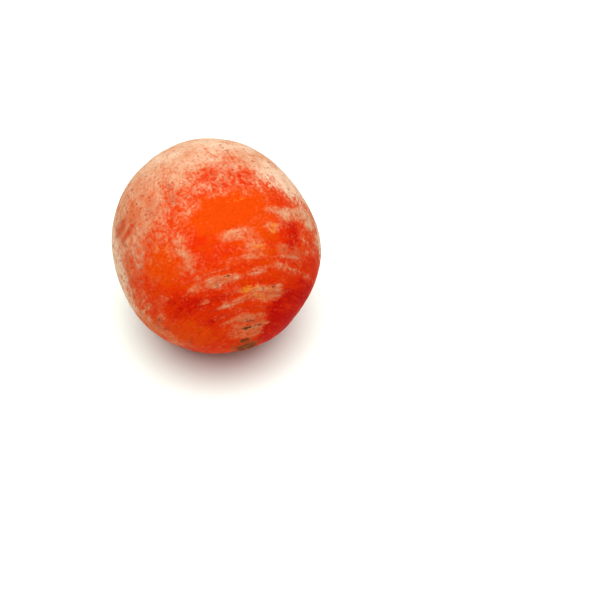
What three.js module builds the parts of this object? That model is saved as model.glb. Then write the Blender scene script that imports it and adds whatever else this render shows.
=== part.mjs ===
// A topped table beetroot, lying on its side on the small flat spot that it settled on.
// Units are millimetres. +Z is up, the taproot points towards -Y and the crown towards +Y.
// The origin is the middle of the flat spot. The root grew as one piece, so it is one solid.
import * as THREE from "three";

// Driving dimensions.
const GIRTH = 72; // widest diameter across the root
const LENGTH = 77.6; // from the crown to the root end, before either was trimmed
const DIP_DEGREES = 15.4; // how far the taproot points below the level

// The taproot, cut off almost flush with the globe.
const TAPROOT_SCAR_RADIUS = 3.4;
const TAPROOT_BASE_RADIUS = 7.6;
const TAPROOT_HEIGHT = 0.6;

// The crown, trimmed level where the leaves were cut off.
const CROWN_FACE_RADIUS = 9.5;
const CROWN_FACE_HOLLOW = 0.5; // how far the middle of the cut face has dried in
const CROWN_COLLAR_RADIUS = 13.5;
const CROWN_COLLAR_HEIGHT = 0.4;

// The two shallow furrows that carried the side roots.
const FURROW_DEPTH = 0.5;
const FURROW_HALF_WIDTH_DEGREES = 11;
const FURROW_SIDES_DEGREES = [103, -121];
const FURROW_REACH_DEGREES = 118; // how far up from the taproot they run

// The flat spot: the globe stands this far into the surface before its skin gives way.
const FLAT_SINK = 1.1;
const FLAT_EDGE = 0.35; // half the height over which the skin rounds away from the flat

// Growth: how proud of a plain ellipsoid the skin stands, from the taproot (0) to the crown (180).
const FULLNESS = [
  { degrees: 0, proud: -0.5 },
  { degrees: 28, proud: -0.65 },
  { degrees: 65, proud: 0.55 },
  { degrees: 100, proud: -0.4 },
  { degrees: 137, proud: 0.3 },
  { degrees: 162, proud: 0.1 },
  { degrees: 180, proud: 0 },
];

// Growth: the low waves around the girth, each with its count, height and turn.
const GIRTH_WAVES = [
  { count: 2, height: 0.25, turn: 35 },
  { count: 3, height: 0.4, turn: 168 },
  { count: 5, height: 0.16, turn: 12 },
];

// Growth: broad swellings and hollows, by how far from the taproot and how far around each one is.
const SWELLINGS = [
  { fromRoot: 68, around: 80, spread: 26, height: 0.55 },
  { fromRoot: 124, around: 76, spread: 26, height: -0.85 },
  { fromRoot: 72, around: -102, spread: 20, height: -0.6 },
  { fromRoot: 110, around: -93, spread: 20, height: 0.4 },
  { fromRoot: 22, around: 178, spread: 20, height: -0.8 },
  { fromRoot: 30, around: 122, spread: 18, height: 0.55 },
  { fromRoot: 118, around: 178, spread: 34, height: 0.5 },
  { fromRoot: 70, around: 150, spread: 28, height: -0.45 },
];

// Mesh density.
const SEGMENTS_AROUND = 64;
const SEGMENTS_ALONG = 56;
const POLE_CROWDING = 0.42; // share by which the rings close up near the taproot and the crown

const radians = THREE.MathUtils.degToRad;
const { smoothstep } = THREE.MathUtils;

const fullness = new THREE.CubicInterpolant(
  FULLNESS.map((station) => radians(station.degrees)),
  FULLNESS.map((station) => station.proud),
  1,
);

// The shortest turn between two directions around the root's own axis.
function turnBetween(a, b) {
  const turn = a - b;
  return Math.atan2(Math.sin(turn), Math.cos(turn));
}

// Radius of the plain ellipsoid, by the angle away from the taproot.
function ellipsoidRadius(angle) {
  return 1 / Math.hypot(Math.cos(angle) / (LENGTH / 2), Math.sin(angle) / (GIRTH / 2));
}

// The low waves around the girth fade out at both ends of the root.
function girthWaves(angle, around) {
  const fade = Math.sin(angle) ** 2;
  let height = 0;
  for (const wave of GIRTH_WAVES) {
    height += wave.height * Math.cos(wave.count * (around - radians(wave.turn)));
  }
  return height * fade;
}

// The direction at an angle away from the taproot and around the axis.
function direction(angle, around) {
  return new THREE.Vector3(
    Math.sin(angle) * Math.sin(around),
    -Math.cos(angle),
    Math.sin(angle) * Math.cos(around),
  );
}

// The broad swellings and hollows, as a height over the skin.
function swellings(angle, around) {
  const here = direction(angle, around);
  let height = 0;
  for (const swelling of SWELLINGS) {
    const middle = direction(radians(swelling.fromRoot), radians(swelling.around));
    const away = here.angleTo(middle) / radians(swelling.spread);
    height += swelling.height * Math.exp(-away * away);
  }
  return height;
}

// The side-root furrows, as a depth below the skin.
function furrows(angle, around) {
  const reach = radians(FURROW_REACH_DEGREES);
  const along = smoothstep(angle, 0.15, 0.6) * (1 - smoothstep(angle, reach - 0.7, reach));
  const halfWidth = radians(FURROW_HALF_WIDTH_DEGREES);
  let depth = 0;
  for (const side of FURROW_SIDES_DEGREES) {
    const across = turnBetween(around, radians(side)) / halfWidth;
    depth += FURROW_DEPTH * Math.exp(-across * across);
  }
  return depth * along;
}

// The taproot's nub, as a height over the skin.
function taprootNub(fromAxis) {
  return TAPROOT_HEIGHT * (1 - smoothstep(fromAxis, TAPROOT_SCAR_RADIUS, TAPROOT_BASE_RADIUS));
}

// The raised corky collar just outside the trimmed crown.
function crownCollar(fromAxis) {
  const width = CROWN_COLLAR_RADIUS - CROWN_FACE_RADIUS;
  const across = (fromAxis - CROWN_COLLAR_RADIUS) / width;
  return CROWN_COLLAR_HEIGHT * Math.exp(-2 * across * across);
}

// Where the skin lies along a direction: `angle` away from the taproot, `around` the axis.
function skinPoint(angle, around) {
  let radius = ellipsoidRadius(angle) + fullness.evaluate(angle)[0];
  radius += girthWaves(angle, around) + swellings(angle, around) - furrows(angle, around);
  const fromAxis = radius * Math.sin(angle);
  const nearCrown = angle > Math.PI / 2;
  radius += nearCrown ? crownCollar(fromAxis) : taprootNub(fromAxis);

  const point = direction(angle, around).multiplyScalar(radius);
  if (nearCrown) point.y = Math.min(point.y, crownFaceHeight(fromAxis));
  return point;
}

// The trimmed face is level with the skin at its rim, and dried in towards its middle.
function crownFaceHeight(fromAxis) {
  const rimLevel = (LENGTH / 2) * Math.sqrt(1 - (CROWN_FACE_RADIUS / (GIRTH / 2)) ** 2);
  const inside = Math.max(0, 1 - (fromAxis / CROWN_FACE_RADIUS) ** 2);
  return rimLevel - CROWN_FACE_HOLLOW * inside;
}

// The skin above the surface stays; what would lie below it is pressed level, with a rounded edge.
function pressedLevel(height) {
  if (height >= FLAT_EDGE) return height;
  if (height <= -FLAT_EDGE) return 0;
  return (height + FLAT_EDGE) ** 2 / (4 * FLAT_EDGE);
}

function beetrootGeometry() {
  const geometry = new THREE.SphereGeometry(1, SEGMENTS_AROUND, SEGMENTS_ALONG);
  const skin = geometry.getAttribute("position");
  const point = new THREE.Vector3();
  for (let i = 0; i < skin.count; i++) {
    point.fromBufferAttribute(skin, i).normalize();
    const evenAngle = Math.acos(THREE.MathUtils.clamp(-point.y, -1, 1));
    const angle = evenAngle - POLE_CROWDING * Math.sin(2 * evenAngle) / 2;
    const around = Math.atan2(point.x, point.z);
    skin.setXYZ(i, ...skinPoint(angle, around));
  }
  geometry.rotateX(radians(DIP_DEGREES));
  settle(geometry);
  geometry.computeVertexNormals();
  return geometry;
}

// Sets the root down on its flat spot, with the middle of the spot at the origin.
function settle(geometry) {
  const skin = geometry.getAttribute("position");
  let lowest = new THREE.Vector3(0, 0, Infinity);
  const point = new THREE.Vector3();
  for (let i = 0; i < skin.count; i++) {
    point.fromBufferAttribute(skin, i);
    if (point.z < lowest.z) lowest = point.clone();
  }
  geometry.translate(-lowest.x, -lowest.y, -lowest.z - FLAT_SINK);
  for (let i = 0; i < skin.count; i++) {
    skin.setZ(i, pressedLevel(skin.getZ(i)));
  }
}

const skinMaterial = new THREE.MeshStandardMaterial({
  color: new THREE.Color(0.85, 0.22, 0.05),
  roughness: 0.55,
  metalness: 0,
});

const root = new THREE.Group();
const beetroot = new THREE.Mesh(beetrootGeometry(), skinMaterial);
beetroot.name = "beetroot";
root.add(beetroot);

export default root;
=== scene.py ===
# A whole golden beetroot, topped and lying on its side on a pale studio floor.
#
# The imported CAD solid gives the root's form and place. One fine mesh stands for it here, with the
# skin's relief in its shape and the skin's colours in its material. Places on the root are told by
# two angles: "from_root" runs from the taproot (0) to the crown (180), and "around" turns about the
# root's own axis, with 0 on top and 90 towards +X.
import math
from collections import namedtuple

import bmesh
import bpy
import numpy as np
from mathutils import Matrix, Vector, noise
from mathutils.bvhtree import BVHTree


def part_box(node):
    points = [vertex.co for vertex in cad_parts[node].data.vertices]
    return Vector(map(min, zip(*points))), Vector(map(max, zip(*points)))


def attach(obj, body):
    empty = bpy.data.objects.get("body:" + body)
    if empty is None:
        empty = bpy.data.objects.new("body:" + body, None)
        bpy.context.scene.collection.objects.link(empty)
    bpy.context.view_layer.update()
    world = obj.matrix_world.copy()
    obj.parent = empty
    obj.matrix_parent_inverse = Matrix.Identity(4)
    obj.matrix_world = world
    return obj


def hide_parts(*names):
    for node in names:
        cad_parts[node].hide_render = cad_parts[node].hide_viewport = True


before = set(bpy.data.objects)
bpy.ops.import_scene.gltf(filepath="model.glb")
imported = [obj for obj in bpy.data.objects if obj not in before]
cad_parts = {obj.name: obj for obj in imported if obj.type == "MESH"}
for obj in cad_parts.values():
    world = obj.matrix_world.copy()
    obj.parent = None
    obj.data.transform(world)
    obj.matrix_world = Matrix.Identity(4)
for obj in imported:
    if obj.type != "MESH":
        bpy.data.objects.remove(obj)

bl_info = {
    "name": "Golden Beetroot",
    "version": (1, 0, 0),
    "blender": (4, 5, 0),
    "location": "View3D > Sidebar > Beetroot",
    "description": "Builds a whole golden beetroot around its CAD frame",
    "category": "Object",
}

MM = 0.001
NODE = "beetroot"
PIECE = "beetroot_skin"
SLOT = "beet_skin"

LOWEST, HIGHEST = (Vector(corner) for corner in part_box(NODE))
CENTRE = (LOWEST + HIGHEST) / 2

# Corners of the CAD solid's facets that lie this close are one corner.
MERGE_DISTANCE = 0.001 * MM

# Passes that smooth the solid's facets out of the fine mesh.
SMOOTHING_PASSES = 24

# How far from the root's axis the mesh is finer, about the crown and about the taproot.
FINE_CROWN_REACH = 14.0 * MM
FINE_TAPROOT_REACH = 8.0 * MM

# The relief comes in over this height above the resting spot.
RESTING_CLEARANCE = 1.5 * MM

# The noises in the mesh, with the size of their bumps. Each has its own place in this list, so that no
# two run alike. The two of size 1 are stretched by the scales below, across and along the root.
NOISES = {
    "drift": 7.0 * MM,
    "climb": 7.0 * MM,
    "lumps": 11.0 * MM,
    "rings": 1.0,
    "lace": 2.5 * MM,
    "edge": 2.6 * MM,
    "ragged edge": 3.5 * MM,
    "knobs": 1.8 * MM,
    "leaf bases": 1.2 * MM,
    "wrinkles": 1.0,
}
RING_SCALE = (0.5, 0.5, 18.0)
WRINKLE_SCALE = (3.2, 3.2, 2.0)

# How far the painted places wander, in degrees. Around the root it is divided by the girth there, as a
# part of the root's full girth, but by no less than the second number.
WANDER = 2.2
LEAST_GIRTH = 0.3

# How far the edges of the cut faces, of the rough skin around them and of the leaf bases wander.
EDGE_WANDER = 0.6 * MM
RAGGED_EDGE_WANDER = 0.9 * MM
LEAF_BASE_WANDER = 0.25 * MM

# Leaf bases follow each other around the crown by the golden angle, and their tones by the golden
# ratio. Each is drawn out around the crown by its width and pressed together outwards by its depth.
GOLDEN_ANGLE = 137.5
GOLDEN_PART = 0.618
LEAF_BASE_WIDTH = 1.7
LEAF_BASE_DEPTH = 0.8

# The least and the most that the masks of the cover, of all cork and of soil may be.
COVER_LIMITS = (-0.9, 1.35)
CORK_LIMITS = (-1.8, 1.5)
SOIL_LIMITS = (0.0, 1.3)

# Where the upper part comes in and goes out, in degrees from the root.
UPPER_START = (56.0, 84.0)
UPPER_END = (138.0, 152.0)

# Sizes of the patches and grains in the skin's colours.
FINE_SIZE = 1.0 * MM
LACE_SIZE = 2.6 * MM
BLOTCH_SIZE = 5.0 * MM
HUE_SIZE = 8.0 * MM
SPOT_SIZE = 2.0 * MM
DOT_SIZE = 2.4 * MM

# How close the streaks are, across and along the root: those that run around it, and those of the
# upper part, which run towards the crown.
ALONG_SCALE = (2.6, 2.6, 30.0)
UPWARD_SCALE = (34.0, 34.0, 7.0)

# What the material's noises are multiplied by to spread them to about 1 either way.
NOISE_GAIN = 9.0

# The masks that are painted on the mesh for the material.
MASKS = ("cork", "blush_and_shade", "cream_and_light", "gold", "soil", "speck", "upper", "russet", "cut", "stalk")

# What the layers of the material share: where a point is, noises from fine to broad, and how far the
# corky cover has grown there. At first it is a thin film, and then cork that is broken into lace.
Pattern = namedtuple("Pattern", "place fine lace blotch streak level")

# The skin is matt, and the corky cover is rougher than the bare skin.
SKIN_SHINE = 0.004
BARE_ROUGHNESS = 0.45
CORK_ROUGHNESS = 0.65
BUMP_STRENGTH = 0.6
BUMP_DEPTH = 0.08 * MM

# Where the light overhead and the light from the front left shine from.
KEY_FROM = Vector((0.02, 0.0, 1.0))
FILL_FROM = Vector((-0.9, -1.0, 0.35))

# The camera shows nothing that is nearer than this.
CAMERA_CLIP = 0.05

WHITE = (1.0, 1.0, 1.0, 1.0)
FLOOR_ROUGHNESS = 0.9
FLOOR_SHINE = 0.1

# Where the corky cover starts, in degrees from the root, and over how many degrees it thins out.
Border = namedtuple("Border", "around start fade")
COVER_BORDER = (
    Border(-180, 96, 40),
    Border(-140, 84, 40),
    Border(-110, 60, 34),
    Border(-92, 46, 40),
    Border(-82, 56, 30),
    Border(-72, 65, 34),
    Border(-60, 78, 35),
    Border(-48, 84, 34),
    Border(-38, 88, 34),
    Border(-28, 97, 28),
    Border(-17, 97, 22),
    Border(-8, 107, 15),
    Border(5, 112, 19),
    Border(16, 113, 14),
    Border(25, 104, 17),
    Border(33, 98, 11),
    Border(45, 89, 10),
    Border(60, 84, 20),
    Border(75, 76, 24),
    Border(100, 80, 36),
    Border(140, 92, 40),
    Border(180, 96, 40),
)

# A mark is a soft-edged patch: half_tall is measured away from the root and half_wide around it, in
# degrees, and slope is how far it drifts from the root for each degree around. It is full out to
# MARK_CORE of its half sizes and gone at MARK_EDGE.
Mark = namedtuple("Mark", "from_root around half_tall half_wide slope strength")
MARK_CORE = 0.45
MARK_EDGE = 1.35

# Corky patches and streaks on the bare skin, and bare places in the cover.
CORK_MARKS = (
    # Islands below the bare brow.
    Mark(71.5, -1, 3.4, 7, 0.05, 1.0),
    Mark(72, 6, 3.4, 5, 0, 0.8),
    Mark(66.5, 12, 7, 6, 0.1, 0.85),
    Mark(60, 15, 3, 6, 0, 0.7),
    Mark(72, 24, 3.4, 4, 0, 0.55),
    Mark(72, 31, 3, 4, 0, 0.8),
    Mark(82, 28, 3, 6, 0.15, 0.9),
    Mark(60, 36, 4, 11, -0.05, 0.95),
    Mark(66, -26, 6, 4, 0, 1.1),
    Mark(74, -28, 7, 5, 0, 1.0),
    Mark(62, -33, 3, 7, 0, 0.5),
    # The streak across the middle and its thin tails.
    Mark(49.5, -12, 3.8, 13, 0.04, 1.5),
    Mark(49.5, 8, 2.4, 14, 0.04, 0.3),
    Mark(51.5, 22, 1.8, 14, 0, 0.5),
    Mark(51.5, 38, 2.6, 15, 0, 0.6),
    Mark(49.5, 70, 1.8, 22, 0, 0.8),
    Mark(52, -32, 3, 8, 0.15, 1.0),
    Mark(61, 60, 1.8, 14, 0, 0.55),
    Mark(58.5, 4, 1.6, 14, 0, 0.6),
    # The streak below it.
    Mark(37.5, 21, 4.4, 23, 0, 1.35),
    Mark(41, 28, 2.4, 12, 0, 0.7),
    Mark(36, -14, 2.4, 15, 0.04, 1.0),
    # Streaks that gather at the taproot.
    Mark(24.5, 2, 3, 28, 0, 1.15),
    Mark(19.5, 8, 2.2, 42, 0, 0.75),
    Mark(13, 8, 6, 44, 0, 1.1),
    # Lace on the flanks.
    Mark(85, -54, 6, 7, 0, 0.4),
    Mark(101, -52, 15, 22, 0, 0.3),
    Mark(68, 56, 9, 14, 0, 0.35),
    Mark(80, 56, 6, 14, 0, 1.1),
    Mark(80, 38, 5, 9, 0, 1.4),
    Mark(99, 9, 9, 18, 0, 0.6),
    Mark(42, -94, 18, 14, 0, 0.4),
    # Cork under the painted highlight on the right flank.
    Mark(72, 76, 9, 9, 0, 1.0),
    # Bare places.
    Mark(85, 3, 8, 18, 0, -0.9),
    Mark(76, -14, 14, 5, 0, -0.5),
    Mark(102, -27, 14, 6, 0, -0.15),
    Mark(105, -68, 3.5, 7, 0, -0.9),
    Mark(98, -58, 2.5, 6, 0.3, -0.8),
    Mark(90, -66, 6, 5, 0, -0.4),
    Mark(113, -56, 3, 4, 0, -0.4),
    Mark(45, -50, 8, 16, 0, -0.5),
    Mark(66, -48, 11, 13, 0, -0.5),
    Mark(26, -62, 12, 30, 0, -0.5),
    # Painted shade: low on the right flank, the film is kept off so that the skin shows its darkest red.
    Mark(28, 86, 24, 54, 0, -1.2),
)

# The two furrows that the side roots grow from.
FURROW_MARKS = (
    Mark(62, 103, 44, 5, 0, 1.0),
    Mark(62, -121, 44, 5, 0, 1.0),
)

# Where the bare skin is redder (above 0) or more orange (below 0). Low on the right flank, the deep red
# is painted shade.
BLUSH_AND_SHADE_MARKS = (
    Mark(86, 4, 14, 26, 0, -0.8),
    Mark(68, 18, 10, 20, 0, -0.25),
    Mark(30, -66, 14, 24, 0, -0.3),
    Mark(35, -28, 12, 18, 0, 0.35),
    Mark(47, -48, 8, 18, 0, 0.35),
    # Painted shade: this pushes the low right flank to deep red.
    Mark(26, 82, 20, 50, 0, 1.2),
    Mark(70, 38, 12, 9, 0, 0.45),
    Mark(55, 62, 8, 20, 0, 0.1),
    Mark(103, 6, 10, 20, 0, 0.35),
    Mark(68, -42, 14, 12, 0, -0.45),
)

# Where the cover is pale and creamy (above 0) or tanned and ruddy (below 0). On the left and right
# flanks, the creamy places are partly painted light.
CREAM_AND_LIGHT_MARKS = (
    Mark(104, 54, 16, 26, 0, 0.9),
    # Pale cork on the left flank, made paler still as a painted lit side.
    Mark(92, -92, 27, 20, 0, 1.15),
    # Painted highlight: a creamy patch on the right flank.
    Mark(73, 80, 14, 12, 0, 1.2),
    Mark(80, 36, 8, 16, 0, -0.2),
    Mark(110, -42, 14, 26, 0, -0.25),
    Mark(100, -52, 14, 22, 0, -0.25),
    Mark(108, 6, 12, 24, 0, -0.2),
    Mark(60, -8, 34, 66, 0, -0.5),
    Mark(16, 4, 13, 70, 0, -0.9),
    Mark(44, -92, 16, 16, 0, -0.7),
    Mark(142, 34, 18, 30, 0, 0.6),
    Mark(146, -27, 15, 38, 0, 0.5),
    Mark(127, 6, 8, 16, 0, 0.35),
)

# Golden places, where the skin is thin and yellow.
GOLD_MARKS = (
    Mark(41.5, 4, 2.8, 6, 0, 0.65),
    Mark(38, 18, 5, 18, 0, 0.5),
    Mark(62, 15, 5, 5, 0, 0.45),
    Mark(71, 26, 4, 4, 0, 0.7),
    Mark(73, 2, 3, 6, 0, 0.35),
    Mark(74, -42, 10, 9, 0, 0.35),
    Mark(77, -64, 4, 5, 0, 0.4),
    Mark(92, 10, 5, 8, 0, 0.3),
    Mark(25, -8, 2, 6, 0, 0.4),
)

# Where the cover is specked with dark red.
SPECK_MARKS = (
    Mark(105, -68, 4, 7, 0, 0.75),
    Mark(98, -58, 3, 7, 0.3, 0.4),
    Mark(104, -38, 6, 6, 0, 0.3),
    Mark(106, -26, 14, 6, 0, 0.3),
    Mark(106, 5, 12, 20, 0, 0.15),
    Mark(88, -62, 34, 26, 0, 0.3),
    Mark(48, -12, 4, 14, 0, 0.25),
    Mark(60, 38, 4, 12, 0, 0.35),
    Mark(38, 32, 5, 16, 0, 0.4),
    Mark(20, 8, 8, 34, 0, 0.4),
    Mark(90, 0, 70, 240, 0, 0.35),
)

# Brown marks left by soil, mostly about the taproot.
SOIL_MARKS = (
    Mark(6.8, -6, 2.4, 26, 0, 1.35),
    Mark(10, -76, 1.8, 26, 0, 0.7),
    Mark(16.5, -3, 1.4, 12, 0, 0.9),
    Mark(17.5, 18, 1.2, 20, 0, 0.8),
    Mark(22, 10, 1.2, 14, 0, 0.6),
    Mark(51.5, -8, 1.0, 2.4, 0, 0.7),
    Mark(42, 25, 1.2, 6, 0, 0.75),
    Mark(60, 33, 2, 6, 0, 0.6),
    Mark(47, -78, 6, 8, 0, 0.5),
    Mark(30, -92, 4, 20, 0, 0.4),
)


class BeetForm(bpy.types.PropertyGroup):
    """Sizes of the root's mesh and of the relief in its skin"""

    dip: bpy.props.FloatProperty(
        name="Dip",
        description="How far the taproot points below the level",
        default=math.radians(15.4),
        subtype="ANGLE",
    )
    quads_across: bpy.props.IntProperty(
        name="Quads Across",
        description="Faces along each edge of the cube that the mesh grows from",
        default=118,
        min=16,
    )
    lump_height: bpy.props.FloatProperty(
        name="Lump Height",
        description="How far the skin swells and dips over a centimetre or so",
        default=0.12 * MM,
        unit="LENGTH",
    )
    ring_height: bpy.props.FloatProperty(
        name="Ring Height",
        description="Height of the growth rings that run around the root",
        default=0.10 * MM,
        unit="LENGTH",
    )
    cork_thickness: bpy.props.FloatProperty(
        name="Cork Thickness",
        description="How far the corky cover stands above the bare skin",
        default=0.10 * MM,
        unit="LENGTH",
    )
    scar_radius: bpy.props.FloatProperty(
        name="Scar Radius",
        description="Radius of the cut face of the taproot",
        default=3.4 * MM,
        unit="LENGTH",
    )
    scar_ring_gap: bpy.props.FloatProperty(
        name="Scar Ring Gap",
        description="Distance between the rings in the cut face of the taproot",
        default=1.2 * MM,
        unit="LENGTH",
    )
    scar_rim_height: bpy.props.FloatProperty(
        name="Scar Rim Height",
        description="How far the skin stands up around the cut face of the taproot",
        default=0.35 * MM,
        unit="LENGTH",
    )
    pucker_height: bpy.props.FloatProperty(
        name="Pucker Height",
        description="Height of the wrinkles that gather at the taproot",
        default=0.30 * MM,
        unit="LENGTH",
    )
    crown_radius: bpy.props.FloatProperty(
        name="Crown Radius",
        description="Radius of the face where the leaves were cut off",
        default=9.5 * MM,
        unit="LENGTH",
    )
    collar_radius: bpy.props.FloatProperty(
        name="Collar Radius",
        description="Radius of the ring of old leaf scars around the crown",
        default=13.5 * MM,
        unit="LENGTH",
    )
    leaf_count: bpy.props.IntProperty(
        name="Leaf Count",
        description="How many leaf bases are packed on the crown and its collar",
        default=36,
        min=1,
    )
    stalk_height: bpy.props.FloatProperty(
        name="Stalk Height",
        description="How far the highest stub of a leaf stalk stands above the crown's face",
        default=1.1 * MM,
        unit="LENGTH",
    )
    leaf_scar_height: bpy.props.FloatProperty(
        name="Leaf Scar Height",
        description="How far the old leaf scars stand above the furrows between them",
        default=0.35 * MM,
        unit="LENGTH",
    )
    furrow_height: bpy.props.FloatProperty(
        name="Furrow Height",
        description="Height of the small knobs along the furrows of the side roots",
        default=0.25 * MM,
        unit="LENGTH",
    )


def colour_property(name, description, default):
    """A colour that a user may change."""
    return bpy.props.FloatVectorProperty(
        name=name, description=description, default=default, subtype="COLOR", size=3, min=0.0, max=1.0
    )


class BeetColours(bpy.types.PropertyGroup):
    """Colours of the root's skin"""

    orange: colour_property("Orange", "Bare skin where it is brightest", (0.585, 0.046, 0.001))
    red: colour_property("Red", "Bare skin over most of the root", (0.565, 0.021, 0.001))
    # Deep red is the skin's own darkest red, and low on the right flank it is also painted shade.
    deep_red_and_shade: colour_property("Deep Red", "Bare skin where it is darkest", (0.42, 0.003, 0.001))
    film: colour_property("Film", "Bare skin under a thin film of cork", (0.57, 0.098, 0.032))
    gold: colour_property("Gold", "Thin yellow places in the skin", (0.60, 0.165, 0.014))
    tan: colour_property("Tan", "Corky cover where it is ruddy", (0.54, 0.145, 0.058))
    peach: colour_property("Peach", "Corky cover over most of the crown end", (0.56, 0.258, 0.140))
    # Cream is the palest cork, and on the left and right flanks it also paints light.
    cream_and_light: colour_property("Cream", "Corky cover where it is palest", (0.68, 0.45, 0.305))
    speck: colour_property("Speck", "Dark specks in the corky cover", (0.35, 0.055, 0.020))
    soil: colour_property("Soil", "Stains left by soil", (0.075, 0.024, 0.006))
    russet: colour_property("Russet", "Rough skin about the crown and the taproot", (0.25, 0.068, 0.020))
    cut: colour_property("Cut", "Dried cut faces and the gaps between leaf stalks", (0.13, 0.036, 0.010))
    stalk: colour_property("Stalk", "Cut stubs of the leaf stalks", (0.42, 0.23, 0.085))


class BeetStudio(bpy.types.PropertyGroup):
    """The camera, the lights and the floor"""

    azimuth: bpy.props.FloatProperty(
        name="Azimuth",
        description="Turn of the camera about the root, with 0 looking along +Y",
        default=math.radians(-17.4),
        subtype="ANGLE",
    )
    elevation: bpy.props.FloatProperty(
        name="Elevation",
        description="Height of the camera above the level",
        default=math.radians(52.0),
        subtype="ANGLE",
    )
    distance: bpy.props.FloatProperty(
        name="Distance",
        description="Distance from the camera to the root",
        default=0.9,
        unit="LENGTH",
    )
    lens: bpy.props.FloatProperty(
        name="Lens",
        description="Focal length of the camera in millimetres",
        default=153.6,
    )
    room_right: bpy.props.FloatProperty(
        name="Room At Right",
        description="How far the camera aims to the right of the root's middle",
        default=29.9 * MM,
        unit="LENGTH",
    )
    room_below: bpy.props.FloatProperty(
        name="Room Below",
        description="How far the camera aims below the root's middle",
        default=18.6 * MM,
        unit="LENGTH",
    )
    key_strength: bpy.props.FloatProperty(
        name="Key Strength",
        description="Strength of the broad light overhead",
        default=5.2,
    )
    key_spread: bpy.props.FloatProperty(
        name="Key Spread",
        description="How much of the sky the overhead light fills",
        default=math.radians(76.0),
        subtype="ANGLE",
    )
    fill_strength: bpy.props.FloatProperty(
        name="Fill Strength",
        description="Strength of the weak light from the front left",
        default=0.64,
    )
    fill_spread: bpy.props.FloatProperty(
        name="Fill Spread",
        description="How much of the sky the light from the front left fills",
        default=math.radians(90.0),
        subtype="ANGLE",
    )
    room_strength: bpy.props.FloatProperty(
        name="Room Strength",
        description="Strength of the light that comes from all around",
        default=0.06,
    )
    floor_size: bpy.props.FloatProperty(
        name="Floor Size",
        description="Length of the floor's sides",
        default=12.0,
        unit="LENGTH",
    )
    floor_colour: colour_property("Floor Colour", "Colour of the floor", (0.85, 0.93, 0.87))


def smooth_step(low, high, values):
    """0 up to low, 1 from high on and smooth between them, where either may be the larger."""
    part = np.clip((values - low) / (high - low), 0.0, 1.0)
    return part * part * (3.0 - 2.0 * part)


def root_axes(dip):
    """The root's own axes as rows: sideways, up and towards the crown."""
    return np.array((
        (1.0, 0.0, 0.0),
        (0.0, -math.sin(dip), math.cos(dip)),
        (0.0, math.cos(dip), math.sin(dip)),
    ))


def turn_between(around, middle):
    """Signed turn from middle to around, in degrees."""
    return (around - middle + 180.0) % 360.0 - 180.0


def painted(marks, from_root, around):
    """Sum of the marks at each place."""
    total = np.zeros_like(from_root)
    for mark in marks:
        turn = turn_between(around, mark.around)
        rise = from_root - mark.from_root - mark.slope * turn
        reach = np.hypot(turn / mark.half_wide, rise / mark.half_tall)
        total += mark.strength * (1.0 - smooth_step(MARK_CORE, MARK_EDGE, reach))
    return total


def fuzz(name, points):
    """One of the NOISES over the points, about -1 to 1."""
    size = NOISES[name]
    shift = Vector((1.7, -2.9, 4.3)) * (list(NOISES).index(name) + 1)
    return np.array([noise.fractal(Vector(point) / size + shift, 1.0, 2.0, 3) for point in points])


def even_ball(cuts):
    """A bmesh ball of even quads, grown from a cube."""
    ball = bmesh.new()
    bmesh.ops.create_cube(ball, size=2.0)
    bmesh.ops.subdivide_edges(ball, edges=ball.edges[:], cuts=cuts - 1, use_grid_fill=True)
    for vert in ball.verts:
        spread = Vector([math.tan(value * math.pi / 4) for value in vert.co])
        vert.co = spread.normalized()
    return ball


def wrap_on_solid(ball, solid, dip):
    """Moves the ball's points out to the CAD solid and smooths its facets away."""
    form = bmesh.new()
    form.from_mesh(solid.data)
    bmesh.ops.remove_doubles(form, verts=form.verts[:], dist=MERGE_DISTANCE)
    tree = BVHTree.FromBMesh(form)
    form.free()
    lean = Matrix(root_axes(dip)).transposed()
    for vert in ball.verts:
        place = tree.ray_cast(CENTRE, lean @ vert.co)[0]
        if place is None:
            raise RuntimeError("a point of the skin found no surface to lie on")
        vert.co = place
    for _ in range(SMOOTHING_PASSES):
        bmesh.ops.smooth_vert(
            ball, verts=ball.verts[:], factor=0.5, use_axis_x=True, use_axis_y=True, use_axis_z=True
        )


def refine_ends(ball, axes):
    """Splits the faces of the crown and of the taproot's end once more."""
    crown = Vector(axes[2])
    near = [
        edge for edge in ball.edges
        if all(is_near_an_end(vert.co - CENTRE, crown) for vert in edge.verts)
    ]
    bmesh.ops.subdivide_edges(ball, edges=near, cuts=1, use_grid_fill=True)


def is_near_an_end(offset, crown):
    """True on the crown and its collar, and on the taproot's end."""
    along = offset.dot(crown)
    across = (offset - crown * along).length
    return across < (FINE_CROWN_REACH if along > 0 else FINE_TAPROOT_REACH)


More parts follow.
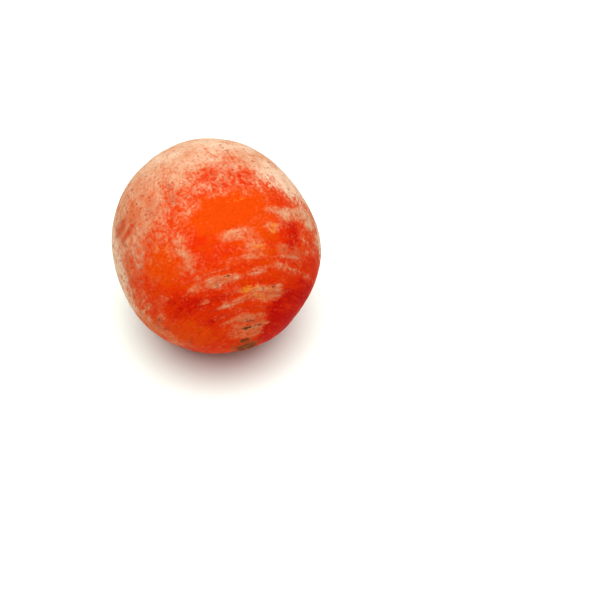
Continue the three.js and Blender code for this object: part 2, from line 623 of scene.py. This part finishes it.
class Skin:
    """Every point of the skin, where it is on the root, and what is painted there."""

    def __init__(self, points, axes, form):
        self.points = points
        offsets = points - np.array(CENTRE)
        self.outwards = offsets / np.linalg.norm(offsets, axis=1)[:, None]
        own = offsets @ axes.T
        self.across = np.hypot(own[:, 0], own[:, 1])
        self.from_root = np.degrees(np.arctan2(self.across, -own[:, 2]))
        self.around = np.degrees(np.arctan2(own[:, 0], own[:, 1]))
        self.paint()
        self.paint_ends(form)

    def paint(self):
        """Works out the soft masks that the material reads."""
        girth = np.maximum(np.sin(np.radians(self.from_root)), LEAST_GIRTH)
        around = self.around + WANDER * fuzz("drift", self.points) / girth
        from_root = self.from_root + WANDER * fuzz("climb", self.points)
        knots = [border.around for border in COVER_BORDER]
        start = np.interp(around, knots, [border.start for border in COVER_BORDER])
        fade = np.interp(around, knots, [border.fade for border in COVER_BORDER])
        cover = np.clip((from_root - start) / fade, *COVER_LIMITS)
        self.furrow = painted(FURROW_MARKS, from_root, around)
        self.cork = np.clip(cover + painted(CORK_MARKS, from_root, around) + self.furrow, *CORK_LIMITS)
        self.blush_and_shade = np.clip(0.5 + painted(BLUSH_AND_SHADE_MARKS, from_root, around), 0.0, 1.0)
        self.cream_and_light = np.clip(painted(CREAM_AND_LIGHT_MARKS, from_root, around), -1.0, 1.0)
        self.gold = np.clip(painted(GOLD_MARKS, from_root, around), 0.0, 1.0)
        self.soil = np.clip(painted(SOIL_MARKS, from_root, around) + 0.5 * self.furrow, *SOIL_LIMITS)
        self.speck = np.clip(painted(SPECK_MARKS, from_root, around), 0.0, 1.0)
        self.upper = smooth_step(*UPPER_START, self.from_root) - smooth_step(*UPPER_END, self.from_root)

    def paint_ends(self, form):
        """The cut taproot, the leaf stubs of the crown and the old leaf scars around them."""
        at_crown = self.from_root > 90.0
        reach = self.across + EDGE_WANDER * fuzz("edge", self.points)
        ragged = reach + RAGGED_EDGE_WANDER * fuzz("ragged edge", self.points)
        scar = np.where(at_crown, 0.0, 1.0 - smooth_step(0.8, 1.15, reach / form.scar_radius))
        face = np.where(at_crown, 1.0 - smooth_step(0.80, 1.0, reach / form.crown_radius), 0.0)
        collar = np.where(at_crown, 1.0 - smooth_step(0.75, 1.2, ragged / form.collar_radius), 0.0)
        bark = np.where(at_crown, 0.0, 1.0 - smooth_step(0.9, 2.4, ragged / form.scar_radius))
        base, hollow, tone = self.leaf_bases(reach, form)
        rings = 0.5 + 0.5 * np.cos(2.0 * math.pi * reach / form.scar_ring_gap)
        self.scar_rim = smooth_step(0.75, 1.0, reach / form.scar_radius) * scar * (3.0 - 2.0 * scar)
        self.soil = np.clip(self.soil + 0.9 * self.scar_rim, *SOIL_LIMITS)
        self.pucker = bark * (1.0 - scar)
        self.cut = np.maximum(face, 0.85 * scar)
        self.stalk = np.maximum(face * base * (0.45 + 0.55 * tone), 0.2 * scar * rings)
        self.stub = face * (base - 0.4 * hollow) * (0.3 + 0.7 * tone)
        self.leaf_scar = collar * base
        self.russet = np.maximum(collar * (1.0 - 0.35 * base * tone), 0.65 * bark)

    def leaf_bases(self, reach, form):
        """Where the leaf bases and their hollow middles are, and a number for each base."""
        nearest = np.full_like(reach, 1.0)
        second = np.full_like(reach, 1.0)
        tone = np.zeros_like(reach)
        for index in range(form.leaf_count):
            out = form.collar_radius * math.sqrt((index + 0.5) / form.leaf_count)
            turn = np.radians(turn_between(self.around, GOLDEN_ANGLE * index))
            side = 0.5 * (reach + out) * turn / LEAF_BASE_WIDTH
            gap = np.hypot(side, (reach - out) / LEAF_BASE_DEPTH)
            closer = gap < nearest
            second = np.where(closer, nearest, np.minimum(second, gap))
            nearest = np.where(closer, gap, nearest)
            tone = np.where(closer, GOLDEN_PART * index % 1.0, tone)
        inwards = second - nearest + LEAF_BASE_WANDER * fuzz("leaf bases", self.points)
        base = smooth_step(0.1 * MM, 0.9 * MM, inwards)
        hollow = smooth_step(0.8 * MM, 2.4 * MM, inwards)
        return base, hollow, tone

    def ring_place(self):
        """A place for noise that runs in streaks around the root."""
        turn = np.radians(self.around)
        return np.column_stack((np.cos(turn), np.sin(turn), np.radians(self.from_root)))


def skin_relief(skin, form):
    """How far each point of the skin stands out."""
    lumps = form.lump_height * fuzz("lumps", skin.points)
    near_an_end = smooth_step(60, 20, skin.from_root) + smooth_step(130, 160, skin.from_root)
    rings = form.ring_height * fuzz("rings", skin.ring_place() * RING_SCALE) * (0.4 + near_an_end)
    cork = form.cork_thickness * smooth_step(-0.2, 0.2, skin.cork + 0.6 * fuzz("lace", skin.points))
    stubs = form.stalk_height * skin.stub
    scars = form.leaf_scar_height * skin.leaf_scar
    knobs = form.furrow_height * skin.furrow * fuzz("knobs", skin.points)
    wrinkles = fuzz("wrinkles", skin.ring_place() * WRINKLE_SCALE)
    pucker = form.pucker_height * skin.pucker * wrinkles
    rim = form.scar_rim_height * skin.scar_rim
    return lumps + rings + cork + stubs + scars + knobs + pucker + rim


def shape_skin(skin, form):
    """Moves the points by the relief and keeps the resting spot level."""
    clear = smooth_step(0.0, RESTING_CLEARANCE, skin.points[:, 2])
    height = skin_relief(skin, form) * clear
    skin.points = skin.points + skin.outwards * height[:, None]
    skin.points[:, 2] = np.maximum(skin.points[:, 2], 0.0)


def write_masks(mesh, skin):
    """Stores the painted masks on the mesh for the material."""
    for name in MASKS:
        layer = mesh.attributes.new(name, "FLOAT", "POINT")
        layer.data.foreach_set("value", getattr(skin, name).astype(np.float32))
    layer = mesh.attributes.new("ring_place", "FLOAT_VECTOR", "POINT")
    layer.data.foreach_set("vector", skin.ring_place().astype(np.float32).ravel())


class Nodes:
    """Adds shader nodes to a tree and links them."""

    def __init__(self, tree):
        self.tree = tree
        tree.nodes.clear()

    def add(self, kind, inputs=None, **settings):
        """A new node with its settings and its inputs, which are sockets or values."""
        node = self.tree.nodes.new(kind)
        for name, value in settings.items():
            setattr(node, name, value)
        for key, value in (inputs or {}).items():
            if isinstance(value, bpy.types.NodeSocket):
                self.tree.links.new(value, node.inputs[key])
            else:
                node.inputs[key].default_value = value
        return node

    def math(self, operation, first, second=0.0, third=0.0):
        """One step of arithmetic."""
        inputs = {0: first, 1: second, 2: third}
        return self.add("ShaderNodeMath", inputs, operation=operation).outputs[0]

    def step(self, value, low, high, bottom=0.0, top=1.0):
        """A smooth change from bottom to top as the value goes from low to high."""
        inputs = {"Value": value, "From Min": low, "From Max": high, "To Min": bottom, "To Max": top}
        return self.add("ShaderNodeMapRange", inputs, interpolation_type="SMOOTHSTEP").outputs[0]

    def mix(self, amount, under, over):
        """One colour over another."""
        inputs = {0: amount, 6: with_alpha(under), 7: with_alpha(over)}
        return self.add("ShaderNodeMix", inputs, data_type="RGBA").outputs[2]

    def noise(self, place, scale, detail, roughness, distortion):
        """Smooth noise about 0, with a spread of about 1."""
        inputs = {
            "Vector": place,
            "Scale": scale,
            "Detail": detail,
            "Roughness": roughness,
            "Distortion": distortion,
        }
        value = self.add("ShaderNodeTexNoise", inputs).outputs[0]
        return self.math("MULTIPLY_ADD", value, NOISE_GAIN, -NOISE_GAIN / 2)

    def scaled(self, vector, by):
        """A vector times another."""
        return self.add("ShaderNodeVectorMath", {0: vector, 1: by}, operation="MULTIPLY").outputs[0]

    def cells(self, place, size, channel):
        """How far a point is from the middle of its cell, and a number for each cell, 0 to 1."""
        cells = self.add("ShaderNodeTexVoronoi", {"Vector": place, "Scale": per_metre(size)})
        numbers = self.add("ShaderNodeSeparateColor", {0: cells.outputs["Color"]})
        return cells.outputs["Distance"], numbers.outputs[channel]

    def total(self, first, *others):
        """The sum of values, each times its weight."""
        result = self.math("MULTIPLY", *first)
        for value, weight in others:
            result = self.math("MULTIPLY_ADD", value, weight, result)
        return result

    def product(self, result, *others):
        """The product of values."""
        for value in others:
            result = self.math("MULTIPLY", result, value)
        return result

    def mix_number(self, amount, under, over):
        """One number over another."""
        return self.add("ShaderNodeMix", {0: amount, 2: under, 3: over}).outputs[0]

    def grey(self, value):
        """The same number on all three channels."""
        return self.add("ShaderNodeCombineXYZ", {0: value, 1: value, 2: value}).outputs[0]

    def mask(self, name):
        """A mask that is stored on the mesh."""
        return self.add("ShaderNodeAttribute", attribute_name=name).outputs["Fac"]

    def broken_mask(self, name, *noises):
        """A stored mask whose edge is broken by weighted noises, and which stays 0 outside it."""
        mask = self.mask(name)
        return self.product(self.total((mask, 1.0), *noises), self.step(mask, 0.0, 0.2))


def with_alpha(colour):
    """A colour with its fourth number, or a socket as it is."""
    if isinstance(colour, bpy.types.NodeSocket):
        return colour
    return (*colour, 1.0)


def per_metre(size):
    """The noise scale that gives bumps of this size."""
    return 1.0 / size


def skin_pattern(nodes):
    """The noises that the layers of the skin share, and how far the corky cover has grown."""
    place = nodes.add("ShaderNodeTexCoord").outputs["Object"]
    ring_place = nodes.add("ShaderNodeAttribute", attribute_name="ring_place").outputs["Vector"]
    fine = nodes.noise(place, per_metre(FINE_SIZE), 2.0, 0.5, 0.4)
    lace = nodes.noise(place, per_metre(LACE_SIZE), 3.0, 0.55, 1.4)
    blotch = nodes.noise(place, per_metre(BLOTCH_SIZE), 3.0, 0.55, 0.4)
    along = nodes.noise(nodes.scaled(ring_place, ALONG_SCALE), 1.0, 4.0, 0.6, 0.3)
    upward = nodes.noise(nodes.scaled(ring_place, UPWARD_SCALE), 1.0, 4.0, 0.6, 0.3)
    upper = nodes.mask("upper")
    streak = nodes.mix_number(
        upper, nodes.math("MULTIPLY", along, 1.2), nodes.math("MULTIPLY", upward, 0.55)
    )
    lace_share = nodes.mix_number(upper, 0.24, 0.34)
    level = nodes.total(
        (nodes.mask("cork"), 1.0), (fine, 0.17), (lace, lace_share), (blotch, 0.22), (streak, 0.28)
    )
    return Pattern(place, fine, lace, blotch, streak, level)


def bare_skin(nodes, pattern, colours):
    """Bare orange and red skin with faint dots, which pales under a thin film of cork. Its deep red is
    partly painted shade, low on the right flank.
    """
    hue = nodes.noise(pattern.place, per_metre(HUE_SIZE), 4.0, 0.6, 0.3)
    shade = nodes.total(
        (nodes.mask("blush_and_shade"), 1.0), (hue, 0.12), (pattern.streak, 0.14), (pattern.lace, 0.10)
    )
    skin = nodes.mix(nodes.step(shade, 0.05, 0.6), colours.orange, colours.red)
    skin = nodes.mix(nodes.step(shade, 0.6, 1.15), skin, colours.deep_red_and_shade)
    distance, number = nodes.cells(pattern.place, DOT_SIZE, 0)
    dot = nodes.product(nodes.step(distance, 0.20, 0.10), nodes.step(number, 0.45, 0.55, 0.0, 0.35))
    skin = nodes.mix(dot, skin, colours.film)
    return nodes.mix(nodes.step(pattern.level, -1.1, 0.3, 0.0, 0.85), skin, colours.film)


def corky_cover(nodes, pattern, colours):
    """The corky cover: peach, with creamy and tanned places. The creamy places on the flanks are partly
    painted light.
    """
    cream_and_light = nodes.total(
        (nodes.mask("cream_and_light"), 1.0), (pattern.blotch, 0.22), (pattern.streak, 0.16), (pattern.fine, 0.10)
    )
    cover = nodes.mix(nodes.step(cream_and_light, -0.2, 1.1), colours.peach, colours.cream_and_light)
    return nodes.mix(nodes.step(cream_and_light, 0.1, -0.7), cover, colours.tan)


def add_specks(nodes, pattern, skin, colours):
    """Small dark specks in the cover, each in a cell of its own."""
    distance, number = nodes.cells(pattern.place, SPOT_SIZE, 1)
    ragged = nodes.total((distance, 1.0), (pattern.fine, 0.09), (pattern.lace, 0.05))
    chosen = nodes.total((number, 1.0), (nodes.mask("speck"), 1.0))
    speck = nodes.product(
        nodes.step(ragged, 0.42, 0.14),
        nodes.step(chosen, 0.9, 1.3),
        nodes.step(pattern.level, -0.1, 0.7, 0.0, 0.72),
    )
    return nodes.mix(speck, skin, colours.speck)


def add_blots(nodes, pattern, skin, colours):
    """Dark blots where the specks run together."""
    blot = nodes.total((nodes.mask("speck"), 1.0), (pattern.fine, 0.22), (pattern.lace, 0.26))
    blot = nodes.product(nodes.step(blot, 0.65, 1.15, 0.0, 0.75), nodes.step(pattern.level, -1.0, 0.1))
    return nodes.mix(blot, skin, colours.speck)


def add_rims(nodes, pattern, skin, colours):
    """Dark rims along the edges of the cover, where it is specked."""
    from_edge = nodes.math("ABSOLUTE", nodes.math("ADD", pattern.level, -0.12))
    specked = nodes.total((nodes.mask("speck"), 1.0), (pattern.lace, 0.2))
    rim = nodes.product(
        nodes.step(from_edge, 0.22, 0.0),
        nodes.step(nodes.mask("cork"), -0.2, 0.3),
        nodes.step(specked, 0.4, 1.1, 0.0, 0.5),
    )
    return nodes.mix(rim, skin, colours.speck)


def add_gold(nodes, pattern, skin, colours):
    """Thin golden places."""
    gold = nodes.broken_mask("gold", (pattern.lace, 0.22), (pattern.fine, 0.12), (pattern.streak, 0.16))
    return nodes.mix(nodes.step(gold, 0.3, 1.15, 0.0, 0.85), skin, colours.gold)


def add_soil(nodes, pattern, skin, colours):
    """Marks left by soil, which away from the painted places cling to the cover only."""
    mask = nodes.mask("soil")
    soil = nodes.total((mask, 1.0), (pattern.streak, 0.30), (pattern.fine, 0.32), (pattern.lace, 0.16))
    clings = nodes.math("MAXIMUM", nodes.step(mask, 0.1, 0.4), nodes.step(pattern.level, 0.1, 0.8))
    soiled = nodes.product(clings, nodes.step(soil, 0.7, 1.2, 0.0, 0.9))
    return nodes.mix(soiled, skin, colours.soil)


def add_ends(nodes, pattern, skin, colours):
    """Russet skin about the crown and the taproot, and their dried cut faces."""
    russet = nodes.broken_mask(
        "russet", (pattern.fine, 0.14), (pattern.lace, 0.16), (pattern.streak, 0.14)
    )
    skin = nodes.mix(nodes.step(russet, 0.15, 1.0, 0.0, 0.9), skin, colours.russet)
    stalk = nodes.total((nodes.mask("stalk"), 1.0), (pattern.fine, 0.16), (pattern.lace, 0.16))
    face = nodes.mix(nodes.step(stalk, 0.05, 0.55), colours.cut, colours.russet)
    face = nodes.mix(nodes.step(stalk, 0.4, 1.1, 0.0, 0.9), face, colours.stalk)
    cut = nodes.broken_mask("cut", (pattern.fine, 0.10), (pattern.lace, 0.14))
    return nodes.mix(nodes.step(cut, 0.2, 0.9, 0.0, 0.9), skin, face)


def mottled(nodes, pattern, skin):
    """The skin with a fine mottling all over."""
    tone = nodes.total((0.97, 1.0), (pattern.fine, 0.045), (pattern.lace, 0.035))
    return nodes.scaled(skin, nodes.grey(tone))


def skin_material(colours):
    """The skin: bare orange and red under a broken corky cover, with its marks on top."""
    material = bpy.data.materials.new(SLOT)
    material.use_nodes = True
    nodes = Nodes(material.node_tree)
    pattern = skin_pattern(nodes)
    cork = nodes.step(pattern.level, -0.35, 1.05)
    skin = nodes.mix(cork, bare_skin(nodes, pattern, colours), corky_cover(nodes, pattern, colours))
    for add_layer in (add_specks, add_blots, add_rims, add_gold, add_soil, add_ends):
        skin = add_layer(nodes, pattern, skin, colours)
    height = nodes.total((cork, 1.0), (pattern.fine, 0.12), (pattern.lace, 0.08))
    bump_inputs = {"Height": height, "Strength": BUMP_STRENGTH, "Distance": BUMP_DEPTH}
    shader_inputs = {
        "Base Color": mottled(nodes, pattern, skin),
        "Roughness": nodes.step(cork, 0.0, 1.0, BARE_ROUGHNESS, CORK_ROUGHNESS),
        "Specular IOR Level": SKIN_SHINE,
        "Normal": nodes.add("ShaderNodeBump", bump_inputs).outputs[0],
    }
    shader = nodes.add("ShaderNodeBsdfPrincipled", shader_inputs)
    nodes.add("ShaderNodeOutputMaterial", {"Surface": shader.outputs[0]})
    return material


def grow_skin(form):
    """The root's fine mesh, with its relief and its painted masks."""
    axes = root_axes(form.dip)
    ball = even_ball(form.quads_across)
    wrap_on_solid(ball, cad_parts[NODE], form.dip)
    refine_ends(ball, axes)
    bmesh.ops.recalc_face_normals(ball, faces=ball.faces[:])
    mesh = bpy.data.meshes.new(PIECE)
    ball.to_mesh(mesh)
    ball.free()
    points = np.empty(3 * len(mesh.vertices), np.float32)
    mesh.vertices.foreach_get("co", points)
    skin = Skin(points.reshape(-1, 3).astype(float), axes, form)
    shape_skin(skin, form)
    mesh.vertices.foreach_set("co", skin.points.astype(np.float32).ravel())
    write_masks(mesh, skin)
    mesh.shade_smooth()
    mesh.update()
    return mesh


class BEET_OT_build_root(bpy.types.Operator):
    """Build the root's skin around its CAD solid"""

    bl_idname = "beetroot.build_root"
    bl_label = "Build Root"

    def execute(self, context):
        mesh = grow_skin(context.scene.beet_form)
        mesh.materials.append(skin_material(context.scene.beet_colours))
        piece = bpy.data.objects.new(PIECE, mesh)
        context.scene.collection.objects.link(piece)
        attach(piece, "root")
        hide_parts(NODE)
        return {"FINISHED"}


class BEET_OT_build_studio(bpy.types.Operator):
    """Build the camera, the lights and the floor"""

    bl_idname = "beetroot.build_studio"
    bl_label = "Build Studio"

    def execute(self, context):
        studio = context.scene.beet_studio
        add_camera(context.scene, studio)
        add_sun(context.scene, "key_light", studio.key_strength, studio.key_spread, KEY_FROM)
        add_sun(context.scene, "fill_light", studio.fill_strength, studio.fill_spread, FILL_FROM)
        add_white_room(context.scene, studio)
        add_floor(context.scene, studio)
        return {"FINISHED"}


def add_camera(scene, studio):
    """A long lens that looks down on the root, with room at the right and below."""
    azimuth, elevation = studio.azimuth, studio.elevation
    back = Vector((
        math.sin(azimuth) * math.cos(elevation),
        -math.cos(azimuth) * math.cos(elevation),
        math.sin(elevation),
    ))
    right = Vector((math.cos(azimuth), math.sin(azimuth), 0.0))
    up = back.cross(right)
    camera = bpy.data.objects.new("camera", bpy.data.cameras.new("camera"))
    camera.data.lens = studio.lens
    camera.data.clip_start = CAMERA_CLIP
    aim = CENTRE + right * studio.room_right - up * studio.room_below
    camera.location = aim + back * studio.distance
    camera.rotation_mode = "QUATERNION"
    camera.rotation_quaternion = back.to_track_quat("Z", "Y")
    scene.collection.objects.link(camera)
    scene.camera = camera


def add_sun(scene, name, strength, spread, shines_from):
    """A soft far light."""
    light = bpy.data.objects.new(name, bpy.data.lights.new(name, "SUN"))
    light.data.energy = strength
    light.data.angle = spread
    light.rotation_mode = "QUATERNION"
    light.rotation_quaternion = shines_from.to_track_quat("Z", "Y")
    scene.collection.objects.link(light)


def add_white_room(scene, studio):
    """Weak even light from all around, out of a room that looks white."""
    world = bpy.data.worlds.new("white_room")
    world.use_nodes = True
    nodes = Nodes(world.node_tree)
    lit = nodes.add("ShaderNodeBackground", {"Color": WHITE, "Strength": studio.room_strength})
    seen = nodes.add("ShaderNodeBackground", {"Color": WHITE, "Strength": 1.0})
    is_seen = nodes.add("ShaderNodeLightPath").outputs["Is Camera Ray"]
    both = nodes.add("ShaderNodeMixShader", {0: is_seen, 1: lit.outputs[0], 2: seen.outputs[0]})
    nodes.add("ShaderNodeOutputWorld", {"Surface": both.outputs[0]})
    scene.world = world
    scene.view_settings.view_transform = "Standard"


def add_floor(scene, studio):
    """A plain pale floor that the root rests on."""
    sheet = bmesh.new()
    bmesh.ops.create_grid(sheet, x_segments=1, y_segments=1, size=studio.floor_size / 2)
    mesh = bpy.data.meshes.new("floor")
    sheet.to_mesh(mesh)
    sheet.free()
    material = bpy.data.materials.new("pale_floor")
    material.use_nodes = True
    nodes = Nodes(material.node_tree)
    inputs = {
        "Base Color": with_alpha(studio.floor_colour),
        "Roughness": FLOOR_ROUGHNESS,
        "Specular IOR Level": FLOOR_SHINE,
    }
    shader = nodes.add("ShaderNodeBsdfPrincipled", inputs)
    nodes.add("ShaderNodeOutputMaterial", {"Surface": shader.outputs[0]})
    mesh.materials.append(material)
    floor = bpy.data.objects.new("floor", mesh)
    scene.collection.objects.link(floor)


def show_values(box, group):
    """Lists the values of a group."""
    for name in group.bl_rna.properties.keys():
        if name not in ("rna_type", "name"):
            box.prop(group, name)


class BEET_PT_sidebar(bpy.types.Panel):
    """Lists the builders and the values they read"""

    bl_label = "Golden Beetroot"
    bl_idname = "BEET_PT_sidebar"
    bl_space_type = "VIEW_3D"
    bl_region_type = "UI"
    bl_category = "Beetroot"

    def draw(self, context):
        scene = context.scene
        for operator, groups in (
            (BEET_OT_build_studio, (scene.beet_studio,)),
            (BEET_OT_build_root, (scene.beet_form, scene.beet_colours)),
        ):
            box = self.layout.box()
            box.operator(operator.bl_idname)
            for group in groups:
                show_values(box, group)


CLASSES = (
    BeetForm,
    BeetColours,
    BeetStudio,
    BEET_OT_build_studio,
    BEET_OT_build_root,
    BEET_PT_sidebar,
)
GROUPS = {"beet_form": BeetForm, "beet_colours": BeetColours, "beet_studio": BeetStudio}


def register():
    """Adds the classes and puts their values on the scene."""
    for cls in CLASSES:
        bpy.utils.register_class(cls)
    for name, group in GROUPS.items():
        setattr(bpy.types.Scene, name, bpy.props.PointerProperty(type=group))


def unregister():
    """Takes away what register adds."""
    for name in GROUPS:
        delattr(bpy.types.Scene, name)
    for cls in reversed(CLASSES):
        bpy.utils.unregister_class(cls)


def main():
    """Builds everything."""
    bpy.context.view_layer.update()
    register()
    bpy.ops.beetroot.build_studio()
    bpy.ops.beetroot.build_root()


if __name__ == "__main__":
    main()
